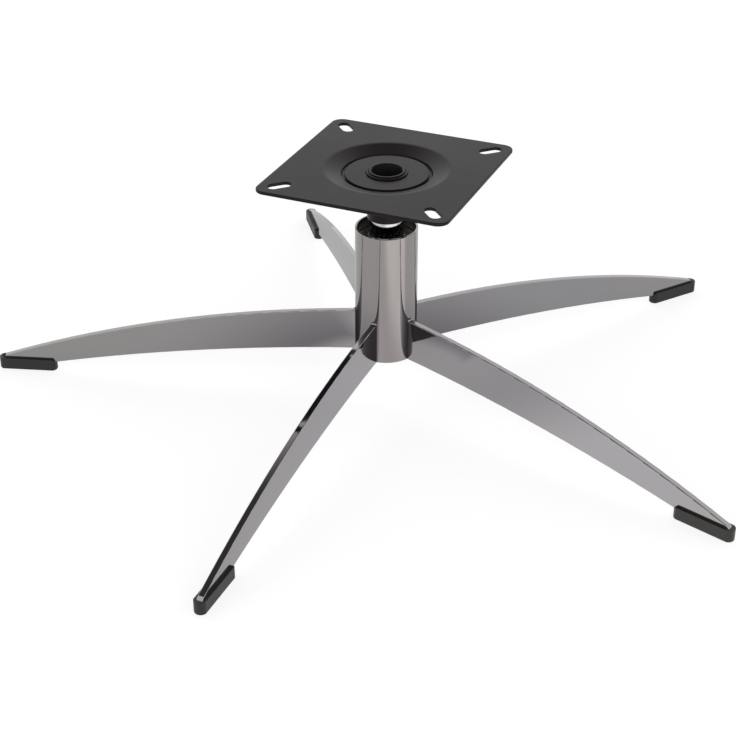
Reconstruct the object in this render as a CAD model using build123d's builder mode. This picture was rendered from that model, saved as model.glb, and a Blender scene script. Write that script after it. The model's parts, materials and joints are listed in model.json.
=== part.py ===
from build123d import *
import os
from math import atan2, cos, degrees, radians, sin, sqrt, tan

# A five-leg swivel base for an upholstered chair, in millimetres.
# The floor is z = 0 and the swivel axis is the Z axis. Leg 1 points along -Y.

# The star
leg_count = 5
leg_1_angle = 270.0
base_r = 375.0

# Column tube
tube_od = 57.0
tube_wall = 2.0
tube_z = 40.0
tube_len = 126.5
tube_rim_round = 0.6
tube_deburr = 0.4

# Blades, cut from flat bar with two curved edges
blade_t = 5.5
blade_hub_h = 40.0
blade_top_arc = 1160.0
blade_under_arc = 1930.0
blade_edge_round = 0.6
toe_flat = 25.0
nose_z = 14.0
nose_cut = 3.1

# Glides, moulded channels pushed on the blade ends
glide_len = 56.5
glide_h = 12.0
glide_wall = 2.7
glide_end_wall = 3.6
glide_floor = 3.5
glide_bulge = 4.2
glide_beak_z = 8.8
glide_sole_round = 1.2
glide_rim_round = 0.6

# Seat plate, pressed from sheet
plate_side = 178.0
plate_t = 3.0
plate_corner_r = 10.5
plate_edge_round = 0.9
plate_deburr = 0.4
slot_inset = 18.0
slot_len = 21.5
slot_w = 10.5
slot_deburr = 0.4
dish_r = 56.0
dish_rim_land = 4.0
dish_drop = 4.9
dish_bend = 9.0
recess_r = 40.7
recess_taper = 0.6
recess_drop = 2.2
recess_bend = 0.8

# Reinforcing disc in the recess
disc_clear = 3.3
disc_t = 2.5
disc_edge_round = 0.4
disc_gap = 1.5

# Sleeve, welded to the plate, with a lip inside its top that stops the spindle
neck_gap = 9.7
sleeve_len = 45.2
sleeve_wall = 1.95
sleeve_proud = 2.5
lip_t = 1.0
lip_reach = 1.4
lip_land = 2.05
lip_round = 0.3
lip_deburr = 0.3
lip_groove_w = 0.7
lip_groove_depth = 0.9
weld_leg = 3.0

# Spindle
spindle_od = 31.0
spindle_wall = 1.5

# Upper guide in the tube
collar_drop = 10.0
collar_h = 12.0
collar_chamfer = 0.8
upper_bush_wall = 2.0
upper_flange_t = 1.5
upper_flange_gap = 3.44

# Thrust bearing and the carrier plate it stands on
carrier_recess = 7.0
carrier_t = 7.0
bearing_bore = 15.0
bearing_od = 28.0
bearing_h = 9.0
race_t = 2.75
race_step = 0.4
ball_d = 4.5
ball_count = 10
cage_t = 1.8
cage_rim = 0.25

# Spindle foot, with its journal through the carrier
foot_plug_h = 15.0
foot_flange_t = 3.0
foot_chamfer = 1.0
lower_bush_wall = 1.6
lower_flange_t = 1.0
lower_flange_w = 3.0
end_play = 0.2
washer_t = 2.0
washer_od = 28.0
clip_t = 1.0
clip_w = 2.4
clip_bite = 0.4
clip_opening = 50.0
clip_lug_r = 1.9
clip_eye_r = 0.8
journal_tail = 1.2

# Clearances
seat_fit = 0.05
arch_fit = 0.1
running_fit = 0.06
ball_fit = 0.15
groove_fit = 0.05

# How far a cutting shape runs past what it cuts
overcut = 1.0

# Radii that follow
tube_r = tube_od / 2
tube_bore_r = tube_r - tube_wall
spindle_r = spindle_od / 2
spindle_bore_r = spindle_r - spindle_wall
sleeve_bore_r = spindle_r + seat_fit
sleeve_r = sleeve_bore_r + sleeve_wall
sleeve_hole_r = sleeve_r + seat_fit
lip_bore_r = sleeve_bore_r - lip_reach
lip_land_r = lip_bore_r + lip_land
lip_groove_r = lip_land_r + lip_groove_w
disc_hole_r = sleeve_r + disc_gap
disc_r = recess_r - disc_clear
upper_bush_bore_r = spindle_r + running_fit
upper_bush_r = upper_bush_bore_r + upper_bush_wall
upper_flange_r = tube_bore_r - upper_flange_gap
journal_r = bearing_bore / 2 - seat_fit
lower_bush_bore_r = journal_r + running_fit
lower_bush_r = lower_bush_bore_r + lower_bush_wall
lower_flange_r = lower_bush_r + lower_flange_w

# Widths that follow
slot_pitch = plate_side - 2 * slot_inset
cage_w = ball_d + 2 * cage_rim

# Heights that follow, from the tube up to the plate
tube_top = tube_z + tube_len
sleeve_z = tube_top + neck_gap
sleeve_top = sleeve_z + sleeve_len
spindle_top = sleeve_top - lip_t
disc_top = sleeve_top - sleeve_proud
recess_floor = disc_top - disc_t
recess_under = recess_floor - plate_t
dish_floor = recess_floor + recess_drop
plate_top = dish_floor + dish_drop
plate_under = plate_top - plate_t

# Heights that follow, from the carrier plate down and up
carrier_z = tube_z + carrier_recess
carrier_top = carrier_z + carrier_t
bearing_top = carrier_top + bearing_h
ball_z = carrier_top + bearing_h / 2
foot_flange_top = bearing_top + foot_flange_t
washer_top = carrier_z - lower_flange_t - end_play
washer_z = washer_top - washer_t
groove_h = clip_t + 2 * groove_fit
journal_end = washer_z - groove_h - journal_tail
collar_top = tube_top - collar_drop
collar_z = collar_top - collar_h

# Blade and glide lengths that follow
blade_tip_r = base_r - glide_end_wall
toe_r = blade_tip_r - toe_flat
nose_r = blade_tip_r - nose_cut
blade_top_z = tube_z + blade_hub_h
slot_half_w = blade_t / 2 + seat_fit
glide_w = 2 * (slot_half_w + glide_wall)
glide_in_r = base_r - glide_len

os.makedirs("parts", exist_ok=True)
leg_angles = [leg_1_angle + 360 * i / leg_count for i in range(leg_count)]


# Upright plane through the swivel axis: its x runs out along the leg, its y is up
def blade_plane(angle):
    a = radians(angle)
    return Plane(origin=(0, 0, 0), x_dir=(cos(a), sin(a), 0), z_dir=(sin(a), -cos(a), 0))


# Floor plane whose x runs out along the leg
def floor_plane(angle):
    a = radians(angle)
    return Plane(origin=(0, 0, 0), x_dir=(cos(a), sin(a), 0), z_dir=(0, 0, 1))


# Column tube
with BuildPart() as column_tube:
    with BuildSketch(Plane.XY.offset(tube_z)):
        Circle(tube_r)
        Circle(tube_bore_r, mode=Mode.SUBTRACT)
    extrude(amount=tube_len)
    top_rim = column_tube.edges().group_by(Axis.Z)[-1].sort_by(SortBy.LENGTH)
    bottom_rim = column_tube.edges().group_by(Axis.Z)[0]
    fillet(top_rim[-1], tube_rim_round)
    chamfer(bottom_rim + [top_rim[0]], tube_deburr)
column_tube.part.label = "column_tube"
export_step(column_tube.part, "parts/column_tube.step")

# Five blades, cut square at the root, butted to the tube and welded
for number, angle in enumerate(leg_angles, start=1):
    upright = blade_plane(angle)
    with BuildPart() as leg:
        with BuildSketch(upright):
            with BuildLine():
                Line((tube_r, tube_z), (tube_r, blade_top_z))
                RadiusArc((tube_r, blade_top_z), (nose_r, nose_z), blade_top_arc)
                Line((nose_r, nose_z), (blade_tip_r, nose_z - nose_cut))
                Line((blade_tip_r, nose_z - nose_cut), (blade_tip_r, glide_floor))
                Line((blade_tip_r, glide_floor), (toe_r, glide_floor))
                RadiusArc((toe_r, glide_floor), (tube_r, tube_z), -blade_under_arc)
            make_face()
        extrude(amount=blade_t / 2, both=True)
        flanks = leg.faces().sort_by(Axis((0, 0, 0), upright.z_dir))
        flank_edges = flanks[0].edges() + flanks[-1].edges()
        fillet(flank_edges.sort_by(SortBy.LENGTH)[-4:], blade_edge_round)
    leg.part.label = f"leg_{number}"
    export_step(leg.part, f"parts/leg_{number}.step")

# Five glides, each a channel round the end of its blade
glide_side_in = glide_in_r + glide_bulge
glide_side_out = base_r - glide_bulge
for number, angle in enumerate(leg_angles, start=1):
    upright = blade_plane(angle)
    with BuildPart() as glide:
        with BuildSketch(floor_plane(angle)):
            with BuildLine():
                Line((glide_side_in, -glide_w / 2), (glide_side_out, -glide_w / 2))
                ThreePointArc((glide_side_out, -glide_w / 2), (base_r, 0), (glide_side_out, glide_w / 2))
                Line((glide_side_out, glide_w / 2), (glide_side_in, glide_w / 2))
                ThreePointArc((glide_side_in, glide_w / 2), (glide_in_r, 0), (glide_side_in, -glide_w / 2))
            make_face()
        extrude(amount=glide_h)
        fillet(glide.faces().sort_by(Axis.Z)[-1].edges(), glide_rim_round)
        fillet(glide.faces().sort_by(Axis.Z)[0].edges(), glide_sole_round)
        # The rim falls to a beak under the blade
        with BuildSketch(upright):
            with BuildLine():
                Polyline(
                    (glide_in_r - overcut, glide_beak_z),
                    (glide_in_r, glide_beak_z),
                    (glide_side_in, glide_h + overcut),
                    (glide_in_r - overcut, glide_h + overcut),
                    close=True,
                )
            make_face()
        extrude(amount=glide_w, both=True, mode=Mode.SUBTRACT)
        # The channel follows the blade's arch and carries its flat toe
        with BuildSketch(upright):
            with BuildLine():
                RadiusArc((tube_r, tube_z - arch_fit), (toe_r, glide_floor - arch_fit), blade_under_arc)
                Line((toe_r, glide_floor - arch_fit), (toe_r, glide_floor))
                Line((toe_r, glide_floor), (blade_tip_r + seat_fit, glide_floor))
                Line((blade_tip_r + seat_fit, glide_floor), (blade_tip_r + seat_fit, tube_z))
                Line((blade_tip_r + seat_fit, tube_z), (tube_r, tube_z))
                Line((tube_r, tube_z), (tube_r, tube_z - arch_fit))
            make_face()
        extrude(amount=slot_half_w, both=True, mode=Mode.SUBTRACT)
    glide.part.label = f"glide_{number}"
    export_step(glide.part, f"parts/glide_{number}.step")

# Upper collar, a turned ring pressed into the tube
with BuildPart() as upper_collar:
    with BuildSketch(Plane.XY.offset(collar_z)):
        Circle(tube_bore_r - seat_fit)
        Circle(upper_bush_r + seat_fit, mode=Mode.SUBTRACT)
    extrude(amount=collar_h)
    collar_rim = upper_collar.edges().group_by(Axis.Z)[-1].sort_by(SortBy.LENGTH)[-1]
    chamfer(collar_rim, collar_chamfer)
upper_collar.part.label = "upper_collar"
export_step(upper_collar.part, "parts/upper_collar.step")

# Upper bush, flanged below the collar, which guides the spindle
with BuildPart() as upper_bush:
    with BuildSketch(Plane.XZ):
        with BuildLine():
            Polyline(
                (upper_bush_bore_r, collar_top),
                (upper_bush_r, collar_top),
                (upper_bush_r, collar_z),
                (upper_flange_r, collar_z),
                (upper_flange_r, collar_z - upper_flange_t),
                (upper_bush_bore_r, collar_z - upper_flange_t),
                close=True,
            )
        make_face()
    revolve(axis=Axis.Z)
upper_bush.part.label = "upper_bush"
export_step(upper_bush.part, "parts/upper_bush.step")

# Carrier plate, welded in the foot of the tube
with BuildPart() as carrier_plate:
    with BuildSketch(Plane.XY.offset(carrier_z)):
        Circle(tube_bore_r - seat_fit)
        Circle(lower_bush_r + seat_fit, mode=Mode.SUBTRACT)
    extrude(amount=carrier_t)
carrier_plate.part.label = "carrier_plate"
export_step(carrier_plate.part, "parts/carrier_plate.step")

# Lower bush, flanged below the carrier plate
with BuildPart() as lower_bush:
    with BuildSketch(Plane.XZ):
        with BuildLine():
            Polyline(
                (lower_bush_bore_r, carrier_top),
                (lower_bush_r, carrier_top),
                (lower_bush_r, carrier_z),
                (lower_flange_r, carrier_z),
                (lower_flange_r, carrier_z - lower_flange_t),
                (lower_bush_bore_r, carrier_z - lower_flange_t),
                close=True,
            )
        make_face()
    revolve(axis=Axis.Z)
lower_bush.part.label = "lower_bush"
export_step(lower_bush.part, "parts/lower_bush.step")

# Thrust bearing: two grooved races, a cage and its balls
race_out_r = bearing_od / 2
ball_pitch_r = (bearing_bore + bearing_od) / 4
groove_r = ball_d / 2 + ball_fit
with BuildPart() as lower_race:
    with BuildSketch(Plane.XZ):
        with Locations((ball_pitch_r, carrier_top + race_t / 2)):
            Rectangle(race_out_r - bearing_bore / 2 - 2 * race_step, race_t)
        with Locations((ball_pitch_r, ball_z)):
            Circle(groove_r, mode=Mode.SUBTRACT)
    revolve(axis=Axis.Z)
lower_race.part.label = "lower_race"
export_step(lower_race.part, "parts/lower_race.step")

with BuildPart() as upper_race:
    with BuildSketch(Plane.XZ):
        with BuildLine():
            Polyline(
                (bearing_bore / 2, bearing_top - race_t),
                (race_out_r - race_step, bearing_top - race_t),
                (race_out_r - race_step, bearing_top),
                (bearing_bore / 2, bearing_top),
                close=True,
            )
        make_face()
        with Locations((ball_pitch_r, ball_z)):
            Circle(groove_r, mode=Mode.SUBTRACT)
    revolve(axis=Axis.Z)
upper_race.part.label = "upper_race"
export_step(upper_race.part, "parts/upper_race.step")

with BuildPart() as ball_cage:
    with BuildSketch(Plane.XY.offset(ball_z - cage_t / 2)):
        Circle(ball_pitch_r + cage_w / 2 + ball_fit)
        Circle(ball_pitch_r - cage_w / 2, mode=Mode.SUBTRACT)
        with PolarLocations(ball_pitch_r, ball_count):
            Circle(ball_d / 2 + ball_fit / 2, mode=Mode.SUBTRACT)
    extrude(amount=cage_t)
ball_cage.part.label = "ball_cage"
export_step(ball_cage.part, "parts/ball_cage.step")

with BuildPart(Plane.XY.offset(ball_z)) as thrust_balls:
    with PolarLocations(ball_pitch_r, ball_count):
        Sphere(ball_d / 2)
thrust_balls.part.label = "thrust_balls"
export_step(thrust_balls.part, "parts/thrust_balls.step")

# Spindle, a ground tube from the bearing up to the sleeve's lip
with BuildPart() as spindle:
    with BuildSketch(Plane.XY.offset(foot_flange_top)):
        Circle(spindle_r)
        Circle(spindle_bore_r, mode=Mode.SUBTRACT)
    extrude(amount=spindle_top - foot_flange_top)
spindle.part.label = "spindle"
export_step(spindle.part, "parts/spindle.step")

# Spindle foot: a plug in the tube, a flange on the bearing and a grooved journal
groove_top = washer_z
groove_bottom = groove_top - groove_h
groove_floor_r = journal_r - clip_bite
with BuildPart() as spindle_foot:
    with BuildSketch(Plane.XZ):
        with BuildLine():
            Polyline(
                (0, journal_end),
                (journal_r, journal_end),
                (journal_r, groove_bottom),
                (groove_floor_r, groove_bottom),
                (groove_floor_r, groove_top),
                (journal_r, groove_top),
                (journal_r, bearing_top),
                (spindle_r, bearing_top),
                (spindle_r, foot_flange_top),
                (spindle_bore_r - seat_fit, foot_flange_top),
                (spindle_bore_r - seat_fit, foot_flange_top + foot_plug_h),
                (0, foot_flange_top + foot_plug_h),
                close=True,
            )
        make_face()
    revolve(axis=Axis.Z)
    chamfer(spindle_foot.edges().filter_by(GeomType.CIRCLE).group_by(Axis.Z)[-1], foot_chamfer)
spindle_foot.part.label = "spindle_foot"
export_step(spindle_foot.part, "parts/spindle_foot.step")

# Retaining washer and snap ring on the journal's end
with BuildPart() as retaining_washer:
    with BuildSketch(Plane.XY.offset(washer_z)):
        Circle(washer_od / 2)
        Circle(journal_r + seat_fit, mode=Mode.SUBTRACT)
    extrude(amount=washer_t)
retaining_washer.part.label = "retaining_washer"
export_step(retaining_washer.part, "parts/retaining_washer.step")

clip_in_r = groove_floor_r + seat_fit
clip_out_r = clip_in_r + clip_w
clip_lug_angle = clip_opening / 2 + degrees(atan2(clip_lug_r, clip_out_r))
clip_mouth_x = clip_out_r + overcut
clip_mouth_y = clip_mouth_x * tan(radians(clip_opening / 2))
with BuildPart() as snap_ring:
    with BuildSketch(floor_plane(leg_1_angle).offset(groove_bottom + groove_fit)):
        Circle(clip_out_r)
        with BuildLine():
            Polyline((0, 0), (clip_mouth_x, clip_mouth_y), (clip_mouth_x, -clip_mouth_y), close=True)
        make_face(mode=Mode.SUBTRACT)
        with PolarLocations(clip_out_r, 2, start_angle=-clip_lug_angle, angular_range=4 * clip_lug_angle):
            Circle(clip_lug_r)
        Circle(clip_in_r, mode=Mode.SUBTRACT)
        with PolarLocations(clip_out_r, 2, start_angle=-clip_lug_angle, angular_range=4 * clip_lug_angle):
            Circle(clip_eye_r, mode=Mode.SUBTRACT)
    extrude(amount=clip_t)
snap_ring.part.label = "snap_ring"
export_step(snap_ring.part, "parts/snap_ring.step")

# Seat plate: a rounded square sheet with four diagonal slots and a pressed dish
dish_slope = atan2(dish_drop, dish_r - recess_r)
step_slope = atan2(recess_drop, recess_taper)
rim_shift = plate_t * tan(dish_slope / 2)
foot_shift = plate_t * tan(step_slope / 2)
knee_shift = plate_t * (cos(dish_slope) - cos(step_slope)) / sin(step_slope - dish_slope)
knee_drop = plate_t * (sin(step_slope) - sin(dish_slope)) / sin(step_slope - dish_slope)
dish_rim_r = dish_r + dish_rim_land
recess_foot_r = recess_r - recess_taper
with BuildPart() as seat_plate:
    with BuildSketch(Plane.XY.offset(plate_under)):
        RectangleRounded(plate_side, plate_side, plate_corner_r)
        Circle(dish_rim_r, mode=Mode.SUBTRACT)
    extrude(amount=plate_t)
    plate_faces = seat_plate.faces().sort_by(Axis.Z)
    fillet(plate_faces[-1].outer_wire().edges(), plate_edge_round)
    chamfer(seat_plate.faces().sort_by(Axis.Z)[0].outer_wire().edges(), plate_deburr)
    with BuildSketch(Plane.XZ):
        with BuildLine():
            FilletPolyline(
                (dish_rim_r, plate_top),
                (dish_r, plate_top),
                (recess_r, dish_floor),
                (recess_foot_r, recess_floor),
                (sleeve_hole_r, recess_floor),
                radius=[dish_bend, recess_bend, recess_bend],
            )
            Line((sleeve_hole_r, recess_floor), (sleeve_hole_r, recess_under))
            FilletPolyline(
                (sleeve_hole_r, recess_under),
                (recess_foot_r + foot_shift, recess_under),
                (recess_r + knee_shift, dish_floor - knee_drop),
                (dish_r + rim_shift, plate_under),
                (dish_rim_r, plate_under),
                radius=[recess_bend, recess_bend, dish_bend - plate_t],
            )
            Line((dish_rim_r, plate_under), (dish_rim_r, plate_top))
        make_face()
    revolve(axis=Axis.Z)
    with BuildSketch(Plane.XY.offset(plate_under)):
        with PolarLocations(slot_pitch / sqrt(2), 4, start_angle=45):
            SlotOverall(slot_len, slot_w)
    extrude(amount=plate_t, mode=Mode.SUBTRACT)
    slot_edges = seat_plate.edges(Select.LAST).group_by(Axis.Z)
    chamfer(slot_edges[0] + slot_edges[-1], slot_deburr)
seat_plate.part.label = "seat_plate"
export_step(seat_plate.part, "parts/seat_plate.step")

# Reinforcing disc
with BuildPart() as support_disc:
    with BuildSketch(Plane.XY.offset(recess_floor)):
        Circle(disc_r)
        Circle(disc_hole_r, mode=Mode.SUBTRACT)
    extrude(amount=disc_t)
    disc_rim = support_disc.edges().group_by(Axis.Z)[-1].sort_by(SortBy.LENGTH)[-1]
    fillet(disc_rim, disc_edge_round)
support_disc.part.label = "support_disc"
export_step(support_disc.part, "parts/support_disc.step")

# Sleeve, with its weld bead under the plate and a groove round its lip
with BuildPart() as socket_sleeve:
    with BuildSketch(Plane.XZ):
        with BuildLine():
            Polyline(
                (sleeve_bore_r, sleeve_z),
                (sleeve_r, sleeve_z),
                (sleeve_r, recess_under - weld_leg),
                (sleeve_r + weld_leg, recess_under),
                (sleeve_r, recess_under),
                (sleeve_r, spindle_top),
                (lip_groove_r, spindle_top),
                (lip_groove_r, spindle_top - lip_groove_depth),
                (lip_land_r, spindle_top - lip_groove_depth),
                (lip_land_r, sleeve_top),
                (lip_bore_r, sleeve_top),
                (lip_bore_r, spindle_top),
                (sleeve_bore_r, spindle_top),
                close=True,
            )
        make_face()
    revolve(axis=Axis.Z)
    lip_edges = socket_sleeve.edges().group_by(Axis.Z)[-1].sort_by(SortBy.LENGTH)
    fillet(lip_edges[-1], lip_round)
    chamfer(lip_edges[0], lip_deburr)
socket_sleeve.part.label = "socket_sleeve"
export_step(socket_sleeve.part, "parts/socket_sleeve.step")
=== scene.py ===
import json
import math
import bpy
from mathutils import Matrix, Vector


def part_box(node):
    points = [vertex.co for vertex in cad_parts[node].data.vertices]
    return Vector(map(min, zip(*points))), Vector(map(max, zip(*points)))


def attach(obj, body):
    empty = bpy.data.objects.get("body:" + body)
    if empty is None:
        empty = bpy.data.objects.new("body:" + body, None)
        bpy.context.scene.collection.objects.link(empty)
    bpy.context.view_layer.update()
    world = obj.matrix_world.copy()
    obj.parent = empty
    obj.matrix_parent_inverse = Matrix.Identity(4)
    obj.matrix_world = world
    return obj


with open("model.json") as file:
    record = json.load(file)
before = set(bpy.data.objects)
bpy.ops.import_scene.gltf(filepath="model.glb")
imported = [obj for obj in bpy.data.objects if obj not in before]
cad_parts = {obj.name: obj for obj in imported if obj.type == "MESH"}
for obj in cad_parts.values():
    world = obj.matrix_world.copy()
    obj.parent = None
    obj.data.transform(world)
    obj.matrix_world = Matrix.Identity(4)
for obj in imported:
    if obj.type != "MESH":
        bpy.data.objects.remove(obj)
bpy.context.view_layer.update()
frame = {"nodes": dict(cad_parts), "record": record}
nodes = frame["nodes"]
print("frame loaded,", len(nodes), "nodes")


# small helpers for node trees

def clearTree(owner):
    owner.use_nodes = True
    owner.node_tree.nodes.clear()
    return owner.node_tree


def newMaterial(name):
    material = bpy.data.materials.new(name)
    tree = clearTree(material)
    output = tree.nodes.new("ShaderNodeOutputMaterial")
    shader = tree.nodes.new("ShaderNodeBsdfPrincipled")
    tree.links.new(shader.outputs["BSDF"], output.inputs["Surface"])
    return material, tree, shader


def addNode(tree, kind, values=None, **settings):
    node = tree.nodes.new(kind)
    for key, value in settings.items():
        setattr(node, key, value)
    for key, value in (values or {}).items():
        node.inputs[key].default_value = value
    return node


def addGroup(tree, group, values):
    node = tree.nodes.new("ShaderNodeGroup")
    node.node_tree = group
    for key, value in values.items():
        node.inputs[key].default_value = value
    return node


def feed(tree, socket, value):
    # the value is another node's output, or a plain number or colour
    if isinstance(value, bpy.types.NodeSocket):
        tree.links.new(value, socket)
    else:
        socket.default_value = value


def mixColors(tree, factor, first, second, blend="MIX"):
    # the colour sockets of a Mix node share their names with others, so they go by number
    node = addNode(tree, "ShaderNodeMix", data_type="RGBA", blend_type=blend)
    feed(tree, node.inputs[0], factor)
    feed(tree, node.inputs[6], first)
    feed(tree, node.inputs[7], second)
    return node.outputs[2]


def newGroup(name, inputs, outputs, treeKind="ShaderNodeTree"):
    group = bpy.data.node_groups.new(name, treeKind)
    for socketName, socketKind, value in inputs:
        socket = group.interface.new_socket(socketName, in_out="INPUT", socket_type=socketKind)
        if value is not None:
            socket.default_value = value
    for socketName, socketKind in outputs:
        group.interface.new_socket(socketName, in_out="OUTPUT", socket_type=socketKind)
    return group, group.nodes.new("NodeGroupInput"), group.nodes.new("NodeGroupOutput")


# shader groups shared by the finishes

def makeHazeGroup():
    # a slow change of roughness, as polishing and handling leave it
    group, source, target = newGroup(
        "handlingHaze",
        [
            ("Scale", "NodeSocketFloat", 30.0),
            ("Smooth", "NodeSocketFloat", 0.1),
            ("Hazy", "NodeSocketFloat", 0.2),
        ],
        [("Roughness", "NodeSocketFloat")],
    )
    link = group.links.new
    place = group.nodes.new("ShaderNodeTexCoord")
    noise = addNode(group, "ShaderNodeTexNoise", {"Detail": 3.0, "Roughness": 0.55})
    spread = addNode(group, "ShaderNodeMapRange", {"From Min": 0.3, "From Max": 0.7})
    link(place.outputs["Object"], noise.inputs["Vector"])
    link(source.outputs["Scale"], noise.inputs["Scale"])
    link(noise.outputs["Fac"], spread.inputs["Value"])
    link(source.outputs["Smooth"], spread.inputs["To Min"])
    link(source.outputs["Hazy"], spread.inputs["To Max"])
    link(spread.outputs["Result"], target.inputs["Roughness"])
    return group


def makeSkinGroup():
    # the fine skin of powder coat and of moulded plastic, as a height
    group, source, target = newGroup(
        "fineSkin",
        [
            ("Coarse", "NodeSocketFloat", 900.0),
            ("Fine", "NodeSocketFloat", 2600.0),
            ("Share", "NodeSocketFloat", 0.4),
        ],
        [("Height", "NodeSocketFloat")],
    )
    link = group.links.new
    place = group.nodes.new("ShaderNodeTexCoord")
    coarse = addNode(group, "ShaderNodeTexNoise", {"Detail": 2.0})
    fine = addNode(group, "ShaderNodeTexVoronoi", feature="SMOOTH_F1")
    mix = addNode(group, "ShaderNodeMix", data_type="FLOAT")
    link(place.outputs["Object"], coarse.inputs["Vector"])
    link(place.outputs["Object"], fine.inputs["Vector"])
    link(source.outputs["Coarse"], coarse.inputs["Scale"])
    link(source.outputs["Fine"], fine.inputs["Scale"])
    link(source.outputs["Share"], mix.inputs["Factor"])
    link(coarse.outputs["Fac"], mix.inputs["A"])
    link(fine.outputs["Distance"], mix.inputs["B"])
    link(mix.outputs["Result"], target.inputs["Height"])
    return group


def makeRingGroup():
    # rings left by a lathe round the swivel axis, as a height
    group, source, target = newGroup(
        "latheRings",
        [
            ("Rings", "NodeSocketFloat", 2500.0),
            ("Waver", "NodeSocketFloat", 0.3),
        ],
        [("Height", "NodeSocketFloat")],
    )
    link = group.links.new
    place = group.nodes.new("ShaderNodeTexCoord")
    split = group.nodes.new("ShaderNodeSeparateXYZ")
    flat = group.nodes.new("ShaderNodeCombineXYZ")
    radius = addNode(group, "ShaderNodeVectorMath", operation="LENGTH")
    line = group.nodes.new("ShaderNodeCombineXYZ")
    noise = addNode(group, "ShaderNodeTexNoise", {"Detail": 2.0})
    link(place.outputs["Object"], split.inputs["Vector"])
    link(split.outputs["X"], flat.inputs["X"])
    link(split.outputs["Y"], flat.inputs["Y"])
    link(flat.outputs["Vector"], radius.inputs[0])
    link(radius.outputs["Value"], line.inputs["X"])
    link(split.outputs["Z"], line.inputs["Y"])
    link(line.outputs["Vector"], noise.inputs["Vector"])
    link(source.outputs["Rings"], noise.inputs["Scale"])
    link(source.outputs["Waver"], noise.inputs["Roughness"])
    link(noise.outputs["Fac"], target.inputs["Height"])
    return group


def makeBoreGroup():
    # 1 inside a tube on the swivel axis, where neither plating nor polish reaches; there the colour is
    # darkened as painted shade
    group, source, target = newGroup(
        "tubeBore",
        [("Radius", "NodeSocketFloat", 0.02)],
        [("Mask", "NodeSocketFloat")],
    )
    link = group.links.new
    place = group.nodes.new("ShaderNodeTexCoord")
    flat = addNode(group, "ShaderNodeVectorMath", {1: (1, 1, 0)}, operation="MULTIPLY")
    radius = addNode(group, "ShaderNodeVectorMath", operation="LENGTH")
    inside = addNode(group, "ShaderNodeMath", operation="LESS_THAN")
    link(place.outputs["Object"], flat.inputs[0])
    link(flat.outputs["Vector"], radius.inputs[0])
    link(radius.outputs["Value"], inside.inputs[0])
    link(source.outputs["Radius"], inside.inputs[1])
    link(inside.outputs["Value"], target.inputs["Mask"])
    return group


hazeGroup = makeHazeGroup()
boreGroup = makeBoreGroup()
skinGroup = makeSkinGroup()
ringGroup = makeRingGroup()


# what the finishes have in common

def hazyRoughness(tree, look):
    values = {"Scale": look["hazeScale"], "Smooth": look["smooth"], "Hazy": look["hazy"]}
    return addGroup(tree, hazeGroup, values).outputs["Roughness"]


def bumpFrom(tree, shader, height, depth, strength):
    bump = addNode(tree, "ShaderNodeBump", {"Distance": depth, "Strength": strength})
    tree.links.new(height, bump.inputs["Height"])
    tree.links.new(bump.outputs["Normal"], shader.inputs["Normal"])


def addSkin(tree, shader, look):
    values = {"Coarse": look["coarse"], "Fine": look["fine"], "Share": look["fineShare"]}
    skin = addGroup(tree, skinGroup, values)
    bumpFrom(tree, shader, skin.outputs["Height"], look["skinDepth"], look["skin"])


def bareAndShadedInside(tree, shader, color, roughness, bore):
    # the inside of a tube is rougher bare steel, its colour darkened near black as painted shade deep
    # in the bore
    inside = addGroup(tree, boreGroup, {"Radius": bore["radius"]}).outputs["Mask"]
    wall = addNode(tree, "ShaderNodeMix", {"B": bore["roughness"]}, data_type="FLOAT")
    tree.links.new(inside, wall.inputs["Factor"])
    tree.links.new(roughness, wall.inputs["A"])
    tree.links.new(wall.outputs["Result"], shader.inputs["Roughness"])
    tree.links.new(mixColors(tree, inside, color, bore["color"]), shader.inputs["Base Color"])


# dark nickel, on the column tube and the legs

nickel = {
    "tubeTints": ((0.372, 0.342, 0.338, 1), (0.356, 0.334, 0.338, 1)),
    "legTints": ((0.366, 0.348, 0.346, 1), (0.350, 0.340, 0.357, 1)),
    "tintScale": 5.0,
    # the share of its colour that nickel keeps when seen in another polished face: painted shade in
    # the reflections
    "paintedReflectionShade": (0.22, 0.215, 0.22, 1),
    "hazeScale": 14.0,
    "smooth": 0.03,
    "hazy": 0.075,
}
# the near-black colour inside the column tube is painted shade
columnBore = {"radius": 0.0267, "color": (0.035, 0.032, 0.031, 1), "roughness": 0.38}


def makeNickel(name, tints, bore=None):
    material, tree, shader = newMaterial(name)
    link = tree.links.new
    shader.inputs["Metallic"].default_value = 1.0
    # the plating drifts between a warm and a cool grey
    place = tree.nodes.new("ShaderNodeTexCoord")
    drift = addNode(tree, "ShaderNodeTexNoise", {"Scale": nickel["tintScale"], "Detail": 1.0})
    spread = addNode(tree, "ShaderNodeMapRange", {"From Min": 0.35, "From Max": 0.65})
    link(place.outputs["Object"], drift.inputs["Vector"])
    link(drift.outputs["Fac"], spread.inputs["Value"])
    tint = mixColors(tree, spread.outputs["Result"], *tints)
    # where one polished face shows in another, the nickel's colour is darkened for glossy rays:
    # painted shade in the reflections
    rays = tree.nodes.new("ShaderNodeLightPath")
    reflectionDarkening = mixColors(tree, rays.outputs["Is Glossy Ray"], (1, 1, 1, 1), nickel["paintedReflectionShade"])
    platingWithReflectionShade = mixColors(tree, 1.0, tint, reflectionDarkening, "MULTIPLY")
    roughness = hazyRoughness(tree, nickel)
    if bore:
        bareAndShadedInside(tree, shader, platingWithReflectionShade, roughness, bore)
    else:
        link(platingWithReflectionShade, shader.inputs["Base Color"])
        link(roughness, shader.inputs["Roughness"])
    return material


# black powder coat, on the seat plate, the disc and the sleeve

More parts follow.
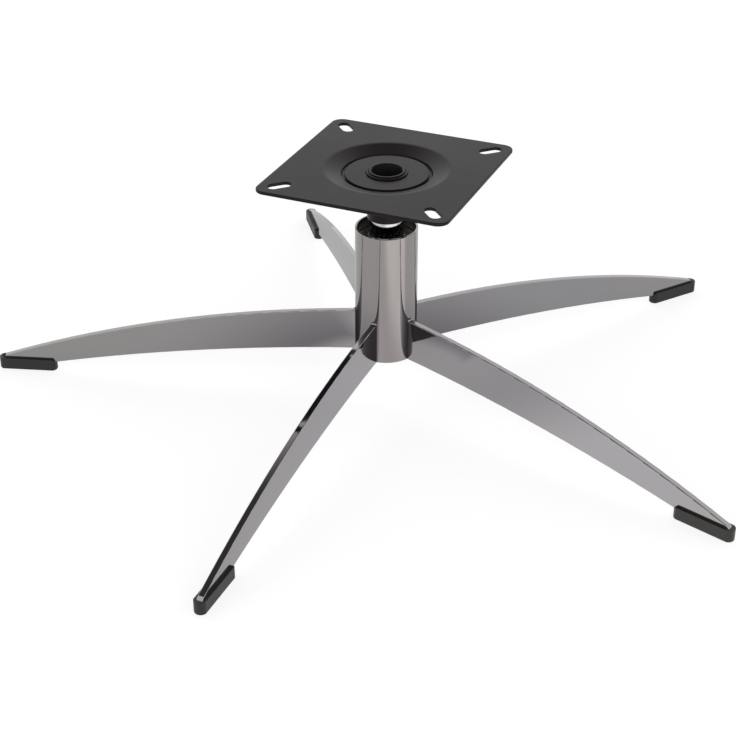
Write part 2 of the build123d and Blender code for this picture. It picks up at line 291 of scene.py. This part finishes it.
coat = {
    "color": (0.0155, 0.0125, 0.0150, 1),
    "gloss": 0.19,
    "sheenTint": (1.0, 0.90, 0.96, 1),
    "hazeScale": 9.0,
    "smooth": 0.27,
    "hazy": 0.35,
    "coarse": 700.0,
    "fine": 2200.0,
    "fineShare": 0.35,
    "skinDepth": 0.00004,
    "skin": 0.5,
}


def makeCoat():
    material, tree, shader = newMaterial("blackPowderCoat")
    shader.inputs["Base Color"].default_value = coat["color"]
    shader.inputs["Specular IOR Level"].default_value = coat["gloss"]
    shader.inputs["Specular Tint"].default_value = coat["sheenTint"]
    tree.links.new(hazyRoughness(tree, coat), shader.inputs["Roughness"])
    addSkin(tree, shader, coat)
    return material


# moulded plastic, on the glides

glide = {
    "color": (0.021, 0.019, 0.018, 1),
    "hazeScale": 60.0,
    "smooth": 0.36,
    "hazy": 0.46,
    "coarse": 1400.0,
    "fine": 3200.0,
    "fineShare": 0.5,
    "skinDepth": 0.00005,
    "skin": 0.5,
}


def makeGlidePlastic():
    material, tree, shader = newMaterial("glidePlastic")
    shader.inputs["Base Color"].default_value = glide["color"]
    tree.links.new(hazyRoughness(tree, glide), shader.inputs["Roughness"])
    addSkin(tree, shader, glide)
    return material


# natural nylon, on the two bushes

nylon = {
    "color": (0.72, 0.70, 0.63, 1),
    "milky": 0.15,
    "milkyReach": (0.002, 0.002, 0.0015),
    "hazeScale": 60.0,
    "smooth": 0.35,
    "hazy": 0.5,
}


def makeNylon():
    material, tree, shader = newMaterial("naturalNylon")
    shader.inputs["Base Color"].default_value = nylon["color"]
    shader.inputs["Subsurface Weight"].default_value = nylon["milky"]
    shader.inputs["Subsurface Radius"].default_value = nylon["milkyReach"]
    tree.links.new(hazyRoughness(tree, nylon), shader.inputs["Roughness"])
    return material


# turned metals, on the spindle, the bearing and what holds them in the tube

lathe = {"waver": 0.4, "marks": 0.4}  # how uneven the rings are, and how strongly they show
chrome = {
    "color": (0.74, 0.74, 0.75, 1),
    "hazeScale": 40.0,
    "smooth": 0.04,
    "hazy": 0.08,
    "rings": 5000.0,
    "ringDepth": 0.000002,
}
# the near-black colour inside the spindle is painted shade
spindleBore = {"radius": 0.01405, "color": (0.065, 0.058, 0.06, 1), "roughness": 0.55}
collarPolish = {
    "color": (0.92, 0.91, 0.90, 1),
    "hazeScale": 40.0,
    "smooth": 0.006,
    "hazy": 0.015,
    "rings": 2600.0,
    "ringDepth": 0.0000002,
}
zinc = {
    "color": (0.80, 0.79, 0.77, 1),
    "hazeScale": 40.0,
    "smooth": 0.10,
    "hazy": 0.18,
    "rings": 2600.0,
    "ringDepth": 0.000003,
}
bearing = {
    "color": (0.55, 0.55, 0.55, 1),
    "hazeScale": 40.0,
    "smooth": 0.10,
    "hazy": 0.2,
    "rings": 4000.0,
    "ringDepth": 0.000004,
}
cageBrass = {
    "color": (0.62, 0.44, 0.18, 1),
    "hazeScale": 40.0,
    "smooth": 0.2,
    "hazy": 0.32,
    "rings": 3000.0,
    "ringDepth": 0.000006,
}


def makeTurnedMetal(name, look, bore=None):
    material, tree, shader = newMaterial(name)
    shader.inputs["Base Color"].default_value = look["color"]
    shader.inputs["Metallic"].default_value = 1.0
    roughness = hazyRoughness(tree, look)
    if bore:
        bareAndShadedInside(tree, shader, look["color"], roughness, bore)
    else:
        tree.links.new(roughness, shader.inputs["Roughness"])
    marks = addGroup(tree, ringGroup, {"Rings": look["rings"], "Waver": lathe["waver"]})
    bumpFrom(tree, shader, marks.outputs["Height"], look["ringDepth"], lathe["marks"])
    return material


finishes = {
    "dark_nickel": makeNickel("darkNickel", nickel["legTints"]),
    "black_powder_coat": makeCoat(),
    "glide_plastic": makeGlidePlastic(),
    "bright_chrome": makeTurnedMetal("brightChrome", chrome, spindleBore),
    "zinc": makeTurnedMetal("zincPlate", zinc),
    "nylon": makeNylon(),
    "bearing_steel": makeTurnedMetal("bearingSteel", bearing),
    "cage_brass": makeTurnedMetal("cageBrass", cageBrass),
}
# two nodes have a finish of their own: the tube is bare inside, with painted shade darkening its bore,
# and the collar's face is polished
ownFinish = {
    "column_tube": makeNickel("darkNickelTube", nickel["tubeTints"], columnBore),
    "upper_collar": makeTurnedMetal("polishedCollar", collarPolish),
}
slotOf = {part["node"]: part["material_slot"] for part in frame["record"]["subparts"]}
for name, node in nodes.items():
    for materialSlot in node.material_slots:
        materialSlot.material = ownFinish.get(name, finishes[slotOf[name]])
print("finishes assigned")


# weld beads, laid in short runs round the swivel axis

weldForm = {"sides": 14, "endThickness": 0.35, "lumpScale": 420.0}


def makeWeldTree():
    tree, source, target = newGroup(
        "weldRuns",
        [
            ("Runs", "NodeSocketInt", 5),
            ("First Angle", "NodeSocketFloat", 0.0),
            ("Arc Radius", "NodeSocketFloat", 0.03),
            ("Arc Sweep", "NodeSocketFloat", 0.2),
            ("Height", "NodeSocketFloat", 0.0),
            ("Bead Radius", "NodeSocketFloat", 0.0015),
            ("Ripples", "NodeSocketFloat", 5.0),
            ("Ripple Depth", "NodeSocketFloat", 0.2),
            ("End Share", "NodeSocketFloat", 0.25),
            ("Lumps", "NodeSocketFloat", 0.0004),
            ("Points", "NodeSocketInt", 60),
            ("Seed", "NodeSocketInt", 1),
            ("Material", "NodeSocketMaterial", None),
        ],
        [("Geometry", "NodeSocketGeometry")],
        "GeometryNodeTree",
    )
    link = tree.links.new

    def calc(operation, first, second=None):
        node = addNode(tree, "ShaderNodeMath", operation=operation)
        feed(tree, node.inputs[0], first)
        if second is not None:
            feed(tree, node.inputs[1], second)
        return node.outputs["Value"]

    # one run: an arc that thins at its ends and swells at each ripple
    arc = addNode(tree, "GeometryNodeCurveArc", mode="RADIUS")
    link(source.outputs["Points"], arc.inputs["Resolution"])
    link(source.outputs["Arc Radius"], arc.inputs["Radius"])
    link(source.outputs["Arc Sweep"], arc.inputs["Sweep Angle"])
    link(calc("MULTIPLY", source.outputs["Arc Sweep"], -0.5), arc.inputs["Start Angle"])
    along = tree.nodes.new("GeometryNodeSplineParameter").outputs["Factor"]
    toEnd = calc("MINIMUM", along, calc("SUBTRACT", 1.0, along))
    thickness = {"To Min": weldForm["endThickness"], "To Max": 1.0}
    ends = addNode(tree, "ShaderNodeMapRange", thickness, interpolation_type="SMOOTHERSTEP")
    link(toEnd, ends.inputs["Value"])
    link(source.outputs["End Share"], ends.inputs["From Max"])
    phase = calc("MULTIPLY", calc("MULTIPLY", along, source.outputs["Ripples"]), math.pi)
    wave = calc("ABSOLUTE", calc("SINE", phase))
    dip = calc("MULTIPLY", source.outputs["Ripple Depth"], calc("SUBTRACT", 1.0, wave))
    swell = calc("SUBTRACT", 1.0, dip)
    sides = {"Resolution": weldForm["sides"]}
    profile = addNode(tree, "GeometryNodeCurvePrimitiveCircle", sides, mode="RADIUS")
    link(source.outputs["Bead Radius"], profile.inputs["Radius"])
    bead = addNode(tree, "GeometryNodeCurveToMesh", {"Fill Caps": True})
    link(arc.outputs["Curve"], bead.inputs["Curve"])
    link(profile.outputs["Curve"], bead.inputs["Profile Curve"])
    link(calc("MULTIPLY", ends.outputs["Result"], swell), bead.inputs["Scale"])

    # uneven lumps
    noise = addNode(
        tree,
        "ShaderNodeTexNoise",
        {"Scale": weldForm["lumpScale"], "Detail": 2.0},
        noise_dimensions="4D",
    )
    centred = addNode(tree, "ShaderNodeVectorMath", {1: (0.5, 0.5, 0.5)}, operation="SUBTRACT")
    scaled = addNode(tree, "ShaderNodeVectorMath", operation="SCALE")
    uneven = tree.nodes.new("GeometryNodeSetPosition")
    link(source.outputs["Seed"], noise.inputs["W"])
    link(noise.outputs["Color"], centred.inputs[0])
    link(centred.outputs["Vector"], scaled.inputs[0])
    link(source.outputs["Lumps"], scaled.inputs["Scale"])
    link(bead.outputs["Mesh"], uneven.inputs["Geometry"])
    link(scaled.outputs["Vector"], uneven.inputs["Offset"])
    smooth = tree.nodes.new("GeometryNodeSetShadeSmooth")
    link(uneven.outputs["Geometry"], smooth.inputs[0])

    # the runs, spread evenly round the axis
    points = tree.nodes.new("GeometryNodePoints")
    place = tree.nodes.new("ShaderNodeCombineXYZ")
    turn = tree.nodes.new("ShaderNodeCombineXYZ")
    index = tree.nodes.new("GeometryNodeInputIndex").outputs["Index"]
    step = calc("DIVIDE", math.tau, source.outputs["Runs"])
    link(source.outputs["Runs"], points.inputs["Count"])
    link(source.outputs["Height"], place.inputs["Z"])
    link(place.outputs["Vector"], points.inputs["Position"])
    link(calc("ADD", source.outputs["First Angle"], calc("MULTIPLY", index, step)), turn.inputs["Z"])
    spread = tree.nodes.new("GeometryNodeInstanceOnPoints")
    link(points.outputs[0], spread.inputs["Points"])
    link(smooth.outputs[0], spread.inputs["Instance"])
    link(turn.outputs["Vector"], spread.inputs["Rotation"])
    whole = tree.nodes.new("GeometryNodeRealizeInstances")
    finish = tree.nodes.new("GeometryNodeSetMaterial")
    link(spread.outputs["Instances"], whole.inputs["Geometry"])
    link(whole.outputs["Geometry"], finish.inputs["Geometry"])
    link(source.outputs["Material"], finish.inputs["Material"])
    link(finish.outputs["Geometry"], target.inputs["Geometry"])
    return tree


weldTree = makeWeldTree()


def layWeld(name, body, slotName, weld, radius, sweep, height):
    values = {
        "Runs": weld["runs"],
        "First Angle": math.radians(weld["firstAngle"]),
        "Arc Radius": radius,
        "Arc Sweep": sweep,
        "Height": height,
        "Bead Radius": weld["bead"],
        "Ripples": weld["ripples"],
        "Ripple Depth": weld["rippleDepth"],
        "End Share": weld["endShare"],
        "Lumps": weld["lumps"],
        "Points": weld["points"],
        "Seed": weld["seed"],
        "Material": finishes[slotName],
    }
    piece = bpy.data.objects.new(name, bpy.data.meshes.new(name + "Host"))
    bpy.context.scene.collection.objects.link(piece)
    modifier = piece.modifiers.new("weld", "NODES")
    modifier.node_group = weldTree
    for socket in weldTree.interface.items_tree:
        if socket.in_out == "INPUT":
            modifier[socket.identifier] = values[socket.name]
    evaluated = piece.evaluated_get(bpy.context.evaluated_depsgraph_get())
    mesh = bpy.data.meshes.new_from_object(evaluated)
    mesh.name = name
    piece.modifiers.remove(modifier)
    piece.data = mesh
    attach(piece, body)
    print(name, "laid,", len(mesh.polygons), "faces")


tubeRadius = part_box("column_tube")[1][0]

rootWeld = {
    "runs": 5,  # one over each leg
    "firstAngle": 270.0,  # degrees, at leg_1
    "bead": 0.0016,
    "ripples": 4.0,
    "rippleDepth": 0.2,
    "endShare": 0.25,
    "lumps": 0.0004,
    "points": 60,
    "seed": 3,
    "overlap": 0.0004,  # past the blade's two sides
    "proud": 0.0002,  # out from the tube and up from the blade
}


def layRootWelds():
    legLow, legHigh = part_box("leg_1")
    radius = tubeRadius + rootWeld["proud"]
    sweep = (legHigh[0] - legLow[0] + rootWeld["overlap"]) / tubeRadius
    height = legHigh[2] + rootWeld["proud"]
    layWeld("root_welds", "base", "dark_nickel", rootWeld, radius, sweep, height)


carrierWeld = {
    "runs": 4,
    "firstAngle": 45.0,
    "sweep": 34.0,  # degrees, for each run
    "bead": 0.0016,
    "ripples": 9.0,
    "rippleDepth": 0.2,
    "endShare": 0.1,
    "lumps": 0.0004,
    "points": 140,
    "seed": 8,
    "inset": 0.0026,  # in from the tube's outside
}


def layCarrierWelds():
    radius = tubeRadius - carrierWeld["inset"]
    sweep = math.radians(carrierWeld["sweep"])
    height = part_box("carrier_plate")[0][2]
    layWeld("carrier_welds", "base", "dark_nickel", carrierWeld, radius, sweep, height)


sleeveWall = 0.002  # from the spindle's outside to the sleeve's
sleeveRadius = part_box("spindle")[1][0] + sleeveWall

neckWeld = {
    "runs": 2,
    "firstAngle": 0.0,
    "bead": 0.0021,
    "ripples": 30.0,
    "rippleDepth": 0.2,
    "endShare": 0.02,
    "lumps": 0.0003,
    "points": 360,
    "seed": 5,
    "overlap": 0.12,  # the angle by which each run passes the half circle
    "out": 0.0011,  # from the sleeve's outside
    "under": 0.0011,  # below the seat plate's dish
}


def layNeckWeld():
    # round the sleeve, under the seat plate
    radius = sleeveRadius + neckWeld["out"]
    sweep = math.pi + neckWeld["overlap"]
    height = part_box("seat_plate")[0][2] - neckWeld["under"]
    layWeld("neck_weld", "swivel", "black_powder_coat", neckWeld, radius, sweep, height)


lipWeld = {
    "runs": 2,
    "firstAngle": 40.0,
    "bead": 0.00085,
    "ripples": 44.0,
    "rippleDepth": 0.05,
    "endShare": 0.02,
    "lumps": 0.0001,
    "points": 260,
    "seed": 11,
    "overlap": 0.10,
    "out": 0.0003,  # from the sleeve's outside
    "under": 0.0018,  # below the sleeve's top
}


def layLipWeld():
    # a slim ring closes the step between the sleeve's top and the disc
    radius = sleeveRadius + lipWeld["out"]
    sweep = math.pi + lipWeld["overlap"]
    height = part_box("socket_sleeve")[1][2] - lipWeld["under"]
    layWeld("lip_weld", "swivel", "black_powder_coat", lipWeld, radius, sweep, height)


layRootWelds()
layCarrierWelds()
layNeckWeld()
layLipWeld()


# floor, sky and camera

def seenRays(tree):
    # 1 for what the lens, the metal and any glass see, 0 for the light that the floor or sky gives
    rays = tree.nodes.new("ShaderNodeLightPath")
    first = addNode(tree, "ShaderNodeMath", operation="ADD", use_clamp=True)
    both = addNode(tree, "ShaderNodeMath", operation="ADD", use_clamp=True)
    tree.links.new(rays.outputs["Is Camera Ray"], first.inputs[0])
    tree.links.new(rays.outputs["Is Glossy Ray"], first.inputs[1])
    tree.links.new(first.outputs["Value"], both.inputs[0])
    tree.links.new(rays.outputs["Is Transmission Ray"], both.inputs[1])
    return both.outputs["Value"]


def softStep(tree, value, start, end):
    # it falls instead of rising where the start is the larger
    limits = {"From Min": start, "From Max": end}
    step = addNode(tree, "ShaderNodeMapRange", limits, interpolation_type="SMOOTHSTEP")
    tree.links.new(value, step.inputs["Value"])
    return step.outputs["Result"]


def litAndGlowing(tree, color, strength, glowColor):
    # a share of real light, which keeps the shadows, and a share of plain glow
    lit = tree.nodes.new("ShaderNodeAddShader")
    shaded = tree.nodes.new("ShaderNodeBsdfDiffuse")
    glow = addNode(tree, "ShaderNodeEmission", {"Strength": strength})
    feed(tree, shaded.inputs["Color"], color)
    feed(tree, glow.inputs["Color"], glowColor)
    tree.links.new(shaded.outputs["BSDF"], lit.inputs[0])
    tree.links.new(glow.outputs["Emission"], lit.inputs[1])
    return lit.outputs["Shader"]


studioFloor = {
    "side": 30.0,
    "color": (0.8, 0.8, 0.8, 1),
    "litShare": (0.5, 0.5, 0.5, 1),
    "lensGlow": 0.78,
    "lensColor": (1, 1, 1, 1),
    "mirrorGlow": 0.72,
    # painted shadow round the hub and painted pool of light in front, which only the metal sees
    "hubShadowColor": (0.29, 0.29, 0.33, 1),
    "farColor": (0.76, 0.77, 0.77, 1),
    "hubFrom": 0.03,  # distances from the swivel axis
    "hubTo": 0.25,
    "closeFrom": 0.115,
    "closeTo": 0.085,
    "frontWay": (0.695, -0.719, 0.0),  # out between the two front legs
    "frontFrom": 0.60,
    "frontTo": 0.76,
    "frontLightColor": (0.84, 0.83, 0.84, 1),
    "frontPoolColor": (1.2, 1.19, 1.17, 1),
    "acrossFrom": 0.06,
    "acrossTo": 0.19,
}


def paintedFloorLightAndShade(tree):
    # the metal mirrors a floor with painted light and shade: a painted pool of light close in and
    # between the two front legs, and a painted shadow that dims it towards the hub elsewhere
    look = studioFloor
    place = tree.nodes.new("ShaderNodeTexCoord")
    split = tree.nodes.new("ShaderNodeSeparateXYZ")
    radius = addNode(tree, "ShaderNodeVectorMath", operation="LENGTH")
    outwards = addNode(tree, "ShaderNodeVectorMath", operation="NORMALIZE")
    facing = addNode(tree, "ShaderNodeVectorMath", {1: look["frontWay"]}, operation="DOT_PRODUCT")
    for socket in (split.inputs[0], radius.inputs[0], outwards.inputs[0]):
        tree.links.new(place.outputs["Object"], socket)
    tree.links.new(outwards.outputs["Vector"], facing.inputs[0])
    fromHub = softStep(tree, radius.outputs["Value"], look["hubFrom"], look["hubTo"])
    closeIn = softStep(tree, radius.outputs["Value"], look["closeFrom"], look["closeTo"])
    inFront = softStep(tree, facing.outputs["Value"], look["frontFrom"], look["frontTo"])
    across = softStep(tree, split.outputs["X"], look["acrossFrom"], look["acrossTo"])
    around = mixColors(tree, fromHub, look["hubShadowColor"], look["farColor"])
    front = mixColors(tree, across, look["frontLightColor"], look["frontPoolColor"])
    lightest = addNode(tree, "ShaderNodeMath", operation="MAXIMUM")
    tree.links.new(inFront, lightest.inputs[0])
    tree.links.new(closeIn, lightest.inputs[1])
    return mixColors(tree, lightest.outputs["Value"], around, front)


def makeFloor():
    look = studioFloor
    half = look["side"] / 2
    corners = [(-half, -half, 0), (half, -half, 0), (half, half, 0), (-half, half, 0)]
    mesh = bpy.data.meshes.new("floor")
    mesh.from_pydata(corners, [], [(0, 1, 2, 3)])
    floor = bpy.data.objects.new("floor", mesh)
    bpy.context.scene.collection.objects.link(floor)
    material = bpy.data.materials.new("paleFloor")
    tree = clearTree(material)
    link = tree.links.new
    output = tree.nodes.new("ShaderNodeOutputMaterial")
    plain = addNode(tree, "ShaderNodeBsdfDiffuse", {"Color": look["color"]})
    level = paintedFloorLightAndShade(tree)
    litLevel = mixColors(tree, 1.0, level, look["litShare"], "MULTIPLY")
    lensSees = litAndGlowing(tree, look["litShare"], look["lensGlow"], look["lensColor"])
    # the metal sees the floor with its painted shadow and painted pool of light
    mirrorSees = litAndGlowing(tree, litLevel, look["mirrorGlow"], level)
    rays = tree.nodes.new("ShaderNodeLightPath")
    seen = tree.nodes.new("ShaderNodeMixShader")
    link(rays.outputs["Is Glossy Ray"], seen.inputs["Fac"])
    link(lensSees, seen.inputs[1])
    link(mirrorSees, seen.inputs[2])
    choose = tree.nodes.new("ShaderNodeMixShader")
    link(seenRays(tree), choose.inputs["Fac"])
    link(plain.outputs["BSDF"], choose.inputs[1])
    link(seen.outputs["Shader"], choose.inputs[2])
    link(choose.outputs["Shader"], output.inputs["Surface"])
    mesh.materials.append(material)


studioSky = {
    "seenColor": (1, 1, 1, 1),
    "lightColor": (0.8, 0.8, 0.8, 1),
    "horizon": 1.0,
    "overhead": 0.07,
    "darkFrom": 0.70,
    "darkTo": 0.86,
}


def makeSky():
    # white round the horizon and dark straight up, like a studio with a black ceiling
    world = bpy.data.worlds.new("studioSky")
    bpy.context.scene.world = world
    tree = clearTree(world)
    output = tree.nodes.new("ShaderNodeOutputWorld")
    background = tree.nodes.new("ShaderNodeBackground")
    place = tree.nodes.new("ShaderNodeTexCoord")
    split = tree.nodes.new("ShaderNodeSeparateXYZ")
    rise = addNode(
        tree,
        "ShaderNodeMapRange",
        {
            "From Min": studioSky["darkFrom"],
            "From Max": studioSky["darkTo"],
            "To Min": studioSky["horizon"],
            "To Max": studioSky["overhead"],
        },
        interpolation_type="SMOOTHSTEP",
    )
    tree.links.new(place.outputs["Generated"], split.inputs["Vector"])
    tree.links.new(split.outputs["Z"], rise.inputs["Value"])
    tree.links.new(rise.outputs["Result"], background.inputs["Strength"])
    sky = mixColors(tree, seenRays(tree), studioSky["lightColor"], studioSky["seenColor"])
    tree.links.new(sky, background.inputs["Color"])
    tree.links.new(background.outputs["Background"], output.inputs["Surface"])


lens = {
    "place": (0.51743, -1.2443, 0.81777),
    "heading": 24.899,
    "tilt": -30.286,
    "roll": -0.811,
    "focal": 81.13,
    "sensor": 36.0,
    "shiftX": 0.0547,
    "shiftY": -0.0155,
    "nearest": 0.05,
}


def makeCamera():
    data = bpy.data.cameras.new("camera")
    data.lens = lens["focal"]
    data.sensor_width = lens["sensor"]
    data.shift_x = lens["shiftX"]
    data.shift_y = lens["shiftY"]
    data.clip_start = lens["nearest"]
    camera = bpy.data.objects.new("camera", data)
    turn = Matrix.Rotation(math.radians(lens["heading"]), 4, "Z")
    tip = Matrix.Rotation(math.radians(90 + lens["tilt"]), 4, "X")  # a camera at 0 looks straight down
    roll = Matrix.Rotation(math.radians(lens["roll"]), 4, "Z")
    camera.matrix_world = Matrix.Translation(lens["place"]) @ turn @ tip @ roll
    bpy.context.scene.collection.objects.link(camera)
    bpy.context.scene.camera = camera


makeFloor()
makeSky()
makeCamera()
bpy.context.scene.view_settings.view_transform = "Standard"
print("studio ready")
